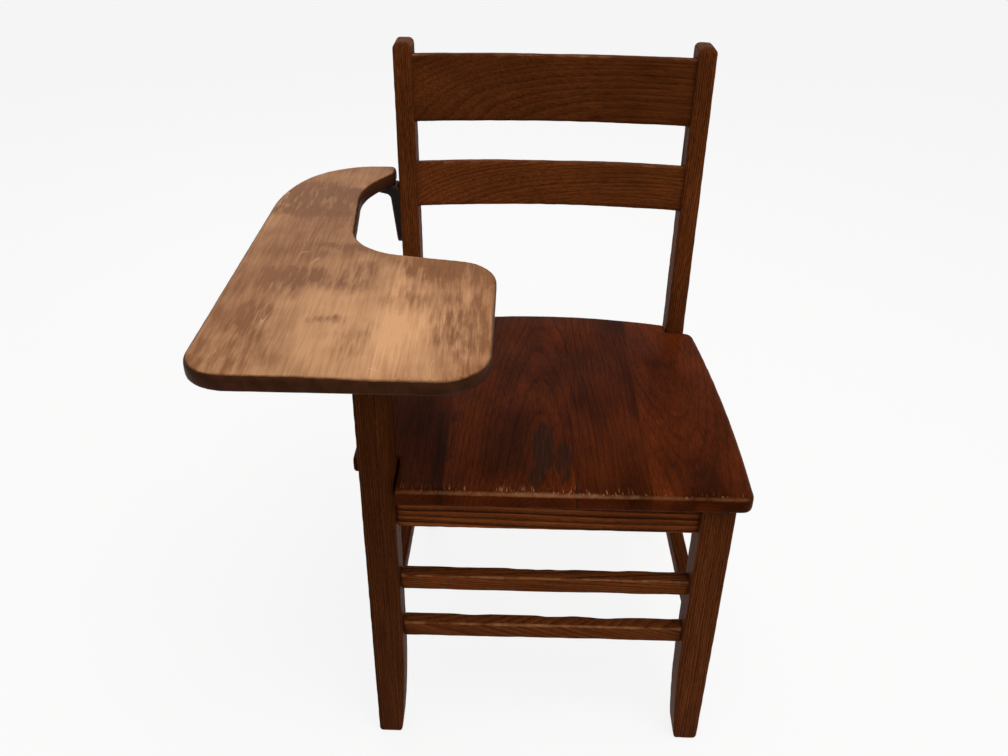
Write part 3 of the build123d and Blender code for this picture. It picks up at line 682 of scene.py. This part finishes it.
class CHAIR_OT_rails(bpy.types.Operator):
    """Dresses the aprons and the stretchers, with the front stretchers worn by shoes"""

    bl_idname = "chair.rails"
    bl_label = "Aprons and stretchers"

    def execute(self, context):
        sizes = context.scene.chair_sizes
        low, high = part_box("upper_front_stretcher")
        middle = (low.x + high.x) / 2
        shoes_aside = 0.02
        shoes_reach = 0.12

        def under_shoes(places):
            """Depth that shoes have worn off the upper half, most a little right of the middle."""
            away = np.abs(places[:, 0] - middle - shoes_aside) / shoes_reach
            upper = places[:, 2] > (places[:, 2].min() + places[:, 2].max()) / 2
            return sizes.foot_wear * unit(1.3 - away) * upper

        # Each has the axis that it runs along, its pith, its lean and its board.
        rails = (
            ("front_apron", 0, (35, -120), (0.01, 0.02), (9.0, 1.0, 1.4)),
            ("rear_apron", 0, (-80, -150), (0.0, 0.02), (5.0, 0.8, 0.9)),
            ("side_apron_left", 1, (90, -140), (0.0, 0.01), (4.0, 0.8, 0.9)),
            ("side_apron_right", 1, (-90, -150), (0.0, -0.015), (4.0, 0.8, 0.9)),
            ("upper_front_stretcher", 0, (45, -75), (0.0, 0.045), (3.0, 0.85, 1.1)),
            ("lower_front_stretcher", 0, (38, -60), (0.0, 0.30), (5.5, 0.6, 1.0)),
            ("rear_stretcher", 0, (40, -90), (0.0, 0.02), (3.0, 0.8, 0.9)),
            ("side_stretcher_left", 1, (70, -80), (0.0, 0.02), (3.0, 0.8, 0.9)),
            ("side_stretcher_right", 1, (-60, -90), (0.0, 0.03), (3.0, 0.8, 0.9)),
        )
        for number, (node, along, pith, lean, board) in enumerate(rails):
            # Trodden stretchers get a high rub share: shoe wear, and a painted highlight along their
            # upper arrises.
            trodden = node.endswith("front_stretcher")
            timber(
                node, sizes.rail_grid, along, pith, lean, number + 5, board,
                rub_and_highlight=1.3 if trodden else 0.5, extra=under_shoes if trodden else None,
            )
        return {"FINISHED"}


class CHAIR_OT_slats(bpy.types.Operator):
    """Dresses the two bent back slats"""

    bl_idname = "chair.slats"
    bl_label = "Back slats"

    def execute(self, context):
        grid = context.scene.chair_sizes.frame_grid
        # Bastard-sawn slats: the pith lies behind and below, so the face shows long slanting waves.
        # Their high rub shares paint pale upper arrises: wear, and a painted highlight.
        timber("top_slat", grid, 0, (60, -75), (0.17, 0.0), 15, (6.5, 0.36, 0.60), rub_and_highlight=1.3)
        timber("lower_slat", grid, 0, (55, -95), (0.15, -0.02), 17, (4.5, 0.46, 0.90), rub_and_highlight=1.2)
        return {"FINISHED"}


class CHAIR_OT_seat(bpy.types.Operator):
    """Dresses the dished seat as one glued-up panel"""

    bl_idname = "chair.seat"
    bl_label = "Seat"

    def execute(self, context):
        sizes = context.scene.chair_sizes
        nodes = [f"seat_board_{number}" for number in (1, 2, 3, 4)]
        piths = ((62, -60), (36, -38), (-85, -55), (-6, -50))
        leans = ((0.02, 0.03), (-0.03, 0.09), (0.03, 0.02), (0.02, -0.09))
        boards = ((4.5, 0.45, 0.72), (6.0, 0.42, 0.86), (6.5, 0.36, 0.82), (5.5, 0.30, 1.04))
        piece = panel("seat_panel", nodes, sizes.panel_grid, piths, leans, boards)
        mesh = piece.data
        places = points_of(mesh)
        front_y = places[:, 1].min()
        arris = arrises(mesh, sizes.panel_grid)
        upward = points_of(mesh, "vector", "vertex_normals")[:, 2]
        # The sitter rubs the front edge, within 20 mm of it and most right of the middle: the front face
        # a little, the lip above it most, and scuffs run back from there. The pale lip is also a painted
        # highlight along the front edge.
        inward = places[:, 1] - front_y
        front = unit(1 - inward / 0.02)
        centre = unit(1.4 - np.abs(places[:, 0] - 0.05) / 0.11)
        face = unit(1.5 - inward / 0.005) * (0.10 + 0.12 * centre)
        lip_wear_and_highlight = unit(1.4 - inward / 0.004) * unit(upward * 3 - 0.4)
        lip_wear_and_highlight *= 0.5 + 0.45 * centre
        give(mesh, "arris", np.maximum(arris * 0.35, np.maximum(face, lip_wear_and_highlight)))
        scuff = unit(0.96 - inward * 8) * (0.88 + 0.12 * centre)
        give(mesh, "scuff", scuff * unit(upward * 2))
        spots = (
            (56, 95, 17, 60, 1.0), (80, 62, 11, 48, 0.9), (46, 28, 9, 26, 0.9),
            (-60, 160, 20, 16, 0.8), (-62, 85, 12, 34, 0.8), (-45, 30, 8, 20, 0.7),
            (132, 74, 7, 26, 0.6), (225, 95, 12, 30, 0.5), (-62.5, 3, 1.2, 14, 1.5),
            (92.5, 3, 1.4, 24, 1.5),
        )
        water = marks(places, (0.0, front_y / MM), spots, 6, 1.0)
        give(mesh, "mark", water * (upward > -0.4))
        depth = sizes.arris_wear * 0.7 + sizes.seat_wear * front * centre
        worn_down(mesh, arris, depth, SITTER_RUB)
        seat_piece(piece, nodes, "varnished_seat_oak")
        return {"FINISHED"}


class CHAIR_OT_tablet(bpy.types.Operator):
    """Dresses the writing tablet as one glued-up panel, rubbed bare on top"""

    bl_idname = "chair.tablet"
    bl_label = "Writing tablet"

    def execute(self, context):
        sizes = context.scene.chair_sizes
        nodes = [f"tablet_board_{number}" for number in (1, 2, 3)]
        piths = ((30, -130), (-60, -110), (25, -140))
        leans = ((0.02, 0.04), (0.0, 0.03), (0.02, -0.03))
        boards = ((3.0, 0.0, 1.02), (3.0, 0.0, 0.97), (3.0, 0.0, 1.05))
        piece = panel("writing_tablet", nodes, sizes.panel_grid, piths, leans, boards)
        mesh = piece.data
        places = points_of(mesh)
        normals = points_of(mesh, "vector", "vertex_normals")
        low = places.min(axis=0) / MM
        arris = arrises(mesh, sizes.panel_grid)
        # In mm from the tablet's left and front. Sleeves wrap over the front and right rims, and the pale
        # top carried over those arrises is also a painted highlight.
        x = places[:, 0] / MM - low[0]
        y = places[:, 1] / MM - low[1]
        front = unit(1.2 - y / 30) * unit((x - 110) / 80)
        right = unit((x - 268) / 14) * unit((245 - y) / 40)
        sleeve_wear_and_highlight = arris * np.maximum(front, right) * unit(normals[:, 2] * 2)
        give(mesh, "level", unit(unit(normals[:, 2]) ** 3 + 0.7 * sleeve_wear_and_highlight) * 0.75)
        # Arms rub the middle of the board most, and the rim and the tail least. The pale middle is also a
        # painted pool of lamp light.
        bare = unit(1.3 - np.hypot((x - 168) / 118, (y - 92) / 150))
        tail = 0.15 * unit(1.2 - np.hypot((x - 75) / 60, (y - 430) / 70))
        give(mesh, "bare", np.maximum(bare, tail))
        spots = (
            (50, 399, 60, 16, 1.2), (62, 446, 74, 46, 1.3), (118, 291, 34, 11, 0.7),
            (78, 200, 44, 36, 0.85), (134, 208, 30, 38, 0.8), (50, 104, 22, 50, 0.75),
            (128, 112, 18, 12, 0.85), (156, 76, 16, 42, 0.7), (240, 232, 56, 34, 1.0),
            (208, 165, 32, 46, 0.55), (258, 100, 34, 86, 0.9), (30, 30, 56, 38, 0.6),
        )
        stains = marks(places, low, spots, 16, 1.6)
        give(mesh, "mark", stains * (normals[:, 2] > 0.5))
        worn_down(mesh, arris, np.full(len(places), sizes.arris_wear * 0.6), ARM_RUB)
        seat_piece(piece, nodes, "rubbed_tablet_hardwood")
        return {"FINISHED"}


class CHAIR_OT_blocks(bpy.types.Operator):
    """Dresses the four corner blocks inside the aprons"""

    bl_idname = "chair.blocks"
    bl_label = "Corner blocks"

    def execute(self, context):
        grid = context.scene.chair_sizes.frame_grid
        corners = ("front_left", "front_right", "rear_left", "rear_right")
        for number, corner in enumerate(corners):
            node = "corner_block_" + corner
            timber(
                node, grid, 0, (50, -60), (0.1, 0.05), number + 30,
                material="sawn_bare_oak",
            )
        return {"FINISHED"}


class CHAIR_OT_brackets(bpy.types.Operator):
    """Dresses the two cast brackets under the tablet"""

    bl_idname = "chair.brackets"
    bl_label = "Brackets"

    def execute(self, context):
        sizes = context.scene.chair_sizes
        for node in ("tail_bracket", "arm_post_bracket"):
            piece = evened(node + "_casting", [node], sizes.iron_grid, easing=1)
            give(piece.data, "arris", arrises(piece.data, sizes.iron_grid))
            seat_piece(piece, [node], "japanned_iron")
        return {"FINISHED"}


def screw_tree():
    """Geometry Nodes that set a round-headed, slotted wood screw on every point, along its axis."""
    tree = bpy.data.node_groups.new("wood screws", "GeometryNodeTree")
    tree.interface.new_socket("Geometry", in_out="INPUT", socket_type="NodeSocketGeometry")
    for name in ("Head radius", "Head height", "Shank radius", "Slot width", "Slot depth"):
        tree.interface.new_socket(name, in_out="INPUT", socket_type="NodeSocketFloat")
    tree.interface.new_socket("Material", in_out="INPUT", socket_type="NodeSocketMaterial")
    tree.interface.new_socket("Geometry", in_out="OUTPUT", socket_type="NodeSocketGeometry")
    given = add(tree, "NodeGroupInput").node.outputs

    # The head is the upper half of a flattened ball, with a slot cut across it.
    radius = given["Head radius"]
    ball = add(tree, "GeometryNodeMeshUVSphere", {"Segments": 24, "Rings": 14, "Radius": 1.0})
    dome = add(tree, "ShaderNodeCombineXYZ", {0: radius, 1: radius, 2: given["Head height"]})
    head = add(tree, "GeometryNodeTransform", {"Geometry": ball, "Scale": dome})
    cube = add(tree, "GeometryNodeMeshCube", {"Size": (1.0, 1.0, 1.0)})
    wide = add(tree, "ShaderNodeMath", {0: radius, 1: 4.0}, operation="MULTIPLY")
    half_down = add(tree, "ShaderNodeMath", {0: wide, 1: -0.5}, operation="MULTIPLY")
    block_size = add(tree, "ShaderNodeCombineXYZ", {0: wide, 1: wide, 2: wide})
    block_place = add(tree, "ShaderNodeCombineXYZ", {2: half_down})
    block = {"Geometry": cube, "Translation": block_place, "Scale": block_size}
    below = add(tree, "GeometryNodeTransform", block)
    deep = add(tree, "ShaderNodeMath", {0: given["Slot depth"], 1: 2.0}, operation="MULTIPLY")
    slot_size = add(tree, "ShaderNodeCombineXYZ", {0: wide, 1: given["Slot width"], 2: deep})
    slot_place = add(tree, "ShaderNodeCombineXYZ", {2: given["Head height"]})
    notch = {"Geometry": cube, "Translation": slot_place, "Scale": slot_size}
    slot = add(tree, "GeometryNodeTransform", notch)
    cutters = add(tree, "GeometryNodeJoinGeometry", {"Geometry": below})
    tree.links.new(slot, cutters.node.inputs["Geometry"])
    cut = {"Mesh 1": head, "Mesh 2": cutters}
    head = add(tree, "GeometryNodeMeshBoolean", cut, operation="DIFFERENCE")

    # Each point says which way its screw faces, how long it is and how far it is turned.
    axis = add(tree, "GeometryNodeInputNamedAttribute", {"Name": "axis"}, data_type="FLOAT_VECTOR")
    length = add(tree, "GeometryNodeInputNamedAttribute", {"Name": "length"}, data_type="FLOAT")
    turn = add(tree, "GeometryNodeInputNamedAttribute", {"Name": "turn"}, data_type="FLOAT")
    aim = add(tree, "FunctionNodeAlignRotationToVector", {"Vector": axis}, axis="Z")
    spin = add(tree, "FunctionNodeAxisAngleToRotation", {"Axis": (0.0, 0.0, 1.0), "Angle": turn})
    turned = {"Rotation": aim, "Rotate By": spin}
    aim = add(tree, "FunctionNodeRotateRotation", turned, rotation_space="LOCAL")
    set_out = {"Points": given["Geometry"], "Rotation": aim}
    heads = add(tree, "GeometryNodeInstanceOnPoints", {**set_out, "Instance": head})
    rod = add(tree, "GeometryNodeMeshCylinder", {"Vertices": 16, "Radius": 1.0, "Depth": 1.0})
    rod = add(tree, "GeometryNodeTransform", {"Geometry": rod, "Translation": (0.0, 0.0, -0.5)})
    radius = given["Shank radius"]
    rod_size = add(tree, "ShaderNodeCombineXYZ", {0: radius, 1: radius, 2: length})
    shanks = add(tree, "GeometryNodeInstanceOnPoints", {**set_out, "Instance": rod, "Scale": rod_size})
    both = add(tree, "GeometryNodeJoinGeometry", {"Geometry": heads})
    tree.links.new(shanks, both.node.inputs["Geometry"])
    real = add(tree, "GeometryNodeRealizeInstances", {"Geometry": both})
    coated = add(tree, "GeometryNodeSetMaterial", {"Geometry": real, "Material": given["Material"]})
    add(tree, "NodeGroupOutput", {"Geometry": coated})
    return tree


def driven_screws(node):
    """Each screw of a CAD node: where its head sits, which way the head faces, and its sizes."""
    form = welded([node])
    waiting = set(form.verts)
    screws = []
    while waiting:
        reached = [waiting.pop()]
        island = list(reached)
        while reached:
            vertex = reached.pop()
            for edge in vertex.link_edges:
                other = edge.other_vert(vertex)
                if other in waiting:
                    waiting.remove(other)
                    island.append(other)
                    reached.append(other)
        points = np.array([vertex.co for vertex in island])
        middle = (points.max(axis=0) + points.min(axis=0)) / 2
        axis = np.linalg.svd(points - points.mean(axis=0))[2][0]
        along = (points - middle) @ axis
        out = np.linalg.norm(points - middle - np.outer(along, axis), axis=1)
        head = out > out.max() * 0.8
        if along[head].mean() < 0:
            axis, along = -axis, -along
        seat = along[head].min()
        screws.append({
            "place": middle + axis * seat,
            "axis": axis,
            "length": seat - along.min(),
            "height": along.max() - seat,
            "head": out.max(),
            "shank": out[along < seat - 0.001].max(),
        })
    form.free()
    return screws


class CHAIR_OT_screws(bpy.types.Operator):
    """Sets round-headed slotted screws where the CAD has its plain ones"""

    bl_idname = "chair.screws"
    bl_label = "Screws"

    def execute(self, context):
        sizes = context.scene.chair_sizes
        tree = screw_tree()
        inputs = [item for item in tree.interface.items_tree if item.in_out == "INPUT"]
        sockets = {item.name: item.identifier for item in inputs}
        groups = ("block_screws", "seat_screws", "tail_bracket_screws", "arm_post_bracket_screws")
        for number, node in enumerate(groups):
            screws = driven_screws(node)
            mesh = bpy.data.meshes.new(node)
            mesh.from_pydata([screw["place"] for screw in screws], [], [])
            for name in ("axis", "length"):
                give(mesh, name, np.array([screw[name] for screw in screws]))
            give(mesh, "turn", np.random.default_rng(number).uniform(0, pi, len(screws)))
            piece = placed(node + "_slotted", mesh)
            modifier = piece.modifiers.new("screws", "NODES")
            modifier.node_group = tree
            parts = {"Head radius": "head", "Head height": "height", "Shank radius": "shank"}
            for name, part in parts.items():
                modifier[sockets[name]] = float(screws[0][part])
            modifier[sockets["Slot width"]] = sizes.slot_width
            modifier[sockets["Slot depth"]] = sizes.slot_depth
            modifier[sockets["Material"]] = finish_for("darkened_steel")
            finished = worked_in(piece)
            if len(finished.polygons) < FEWEST_FACES * len(screws):
                raise RuntimeError(node + ": the screws were not made")
            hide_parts(node)
            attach(piece, BODY)
        return {"FINISHED"}


# ---- stage

CAMERA_PLACE = (0.01758, -1.03998, 1.13001)
CAMERA_YAW = -0.0128
CAMERA_PITCH = 0.5539   # below the horizon
CAMERA_ROLL = 0.0154
CAMERA_LENS = 33.92
LAMP_AIM = (0.0, 0.0, 0.5)
ROOM_LIGHT = 0.42       # strength of the room's light on surfaces
ROOM_SEEN = 0.9         # brightness of the room to the camera and in the varnish
PAINT = "F4F3F1"
FLOOR_SEEN = 0.85       # share of plain white in the floor that the camera sees
FLOOR_REACH = 20.0


def camera():
    """A camera at eye height in front of the chair."""
    data = bpy.data.cameras.new("camera")
    data.lens = CAMERA_LENS
    data.sensor_width = 36.0
    view = placed("camera", data)
    yaw = Matrix.Rotation(-CAMERA_YAW, 4, "Z")
    pitch = Matrix.Rotation(pi / 2 - CAMERA_PITCH, 4, "X")
    roll = Matrix.Rotation(CAMERA_ROLL, 4, "Z")
    view.matrix_world = Matrix.Translation(CAMERA_PLACE) @ yaw @ pitch @ roll
    bpy.context.scene.camera = view


def softbox(name, place, width, power):
    """A square lamp of this width and power that faces the chair."""
    data = bpy.data.lights.new(name, "AREA")
    data.size = width
    data.energy = power
    lamp = placed(name, data)
    lamp.location = place
    lamp.rotation_euler = (Vector(LAMP_AIM) - Vector(place)).to_track_quat("-Z", "Y").to_euler()


def seen_directly(tree):
    """1 for what the camera, a reflection or a view through glass shows, 0 for light on surfaces."""
    rays = add(tree, "ShaderNodeLightPath").node.outputs
    seen = rays["Is Camera Ray"]
    for kind in ("Is Glossy Ray", "Is Transmission Ray"):
        seen = add(tree, "ShaderNodeMath", {0: seen, 1: rays[kind]}, operation="MAXIMUM")
    return seen


def surroundings():
    """Even light from all round, which the camera and the varnish see as a pale room."""
    world = bpy.data.worlds.new("room")
    bpy.context.scene.world = world
    world.use_nodes = True
    tree = world.node_tree
    tree.nodes.clear()
    strength = add(tree, "ShaderNodeMapRange", {0: seen_directly(tree), 3: ROOM_LIGHT, 4: ROOM_SEEN})
    light = add(tree, "ShaderNodeBackground", {"Color": (1.0, 1.0, 1.0, 1.0), "Strength": strength})
    add(tree, "ShaderNodeOutputWorld", {"Surface": light})


def floor():
    """A plain pale floor with a soft shadow."""
    mesh = bpy.data.meshes.new("floor")
    corners = [(x * FLOOR_REACH, y * FLOOR_REACH, 0) for x, y in ((-1, -1), (1, -1), (1, 1), (-1, 1))]
    mesh.from_pydata(corners, [], [(0, 1, 2, 3)])
    ground = placed("floor", mesh)
    material = empty_material("matt_paint")
    tree = material.node_tree
    shader = add(tree, "ShaderNodeBsdfPrincipled", {"Base Color": linear(PAINT), "Roughness": 0.9})
    white = add(tree, "ShaderNodeEmission", {"Strength": 1.0})
    share = add(tree, "ShaderNodeMapRange", {0: seen_directly(tree), 4: FLOOR_SEEN})
    mixed = add(tree, "ShaderNodeMixShader", {0: share, 1: shader, 2: white})
    add(tree, "ShaderNodeOutputMaterial", {"Surface": mixed})
    mesh.materials.append(material)


class CHAIR_OT_stage(bpy.types.Operator):
    """Sets the floor, the light and the camera"""

    bl_idname = "chair.stage"
    bl_label = "Stage"

    def execute(self, context):
        context.scene.view_settings.view_transform = "Standard"
        camera()
        floor()
        surroundings()
        softbox("key", (0.5, -0.9, 2.6), 1.6, 34.0)
        softbox("rim", (-0.5, 1.9, 2.2), 1.4, 12.0)
        return {"FINISHED"}


STEPS = ("legs", "rails", "slats", "seat", "tablet", "blocks", "brackets", "screws", "stage")


class CHAIR_PT_panel(bpy.types.Panel):
    """Lists the chair's sizes, finishes and steps"""

    bl_idname = "CHAIR_PT_panel"
    bl_label = "School chair"
    bl_space_type = "VIEW_3D"
    bl_region_type = "UI"
    bl_category = "School chair"

    def draw(self, context):
        column = self.layout.column()
        for group in (context.scene.chair_sizes, context.scene.chair_finish):
            for name in group.__annotations__:
                column.prop(group, name)
        for step in STEPS:
            column.operator("chair." + step)


CLASSES = (
    ChairSizes, ChairFinish, CHAIR_OT_legs, CHAIR_OT_rails, CHAIR_OT_slats, CHAIR_OT_seat,
    CHAIR_OT_tablet, CHAIR_OT_blocks, CHAIR_OT_brackets, CHAIR_OT_screws, CHAIR_OT_stage, CHAIR_PT_panel,
)


def register():
    for cls in CLASSES:
        bpy.utils.register_class(cls)
    bpy.types.Scene.chair_sizes = bpy.props.PointerProperty(type=ChairSizes)
    bpy.types.Scene.chair_finish = bpy.props.PointerProperty(type=ChairFinish)


def unregister():
    del bpy.types.Scene.chair_sizes
    del bpy.types.Scene.chair_finish
    for cls in reversed(CLASSES):
        bpy.utils.unregister_class(cls)


def main():
    """Makes every piece in order."""
    register()
    for step in STEPS:
        getattr(bpy.ops.chair, step)()


if __name__ == "__main__":
    main()
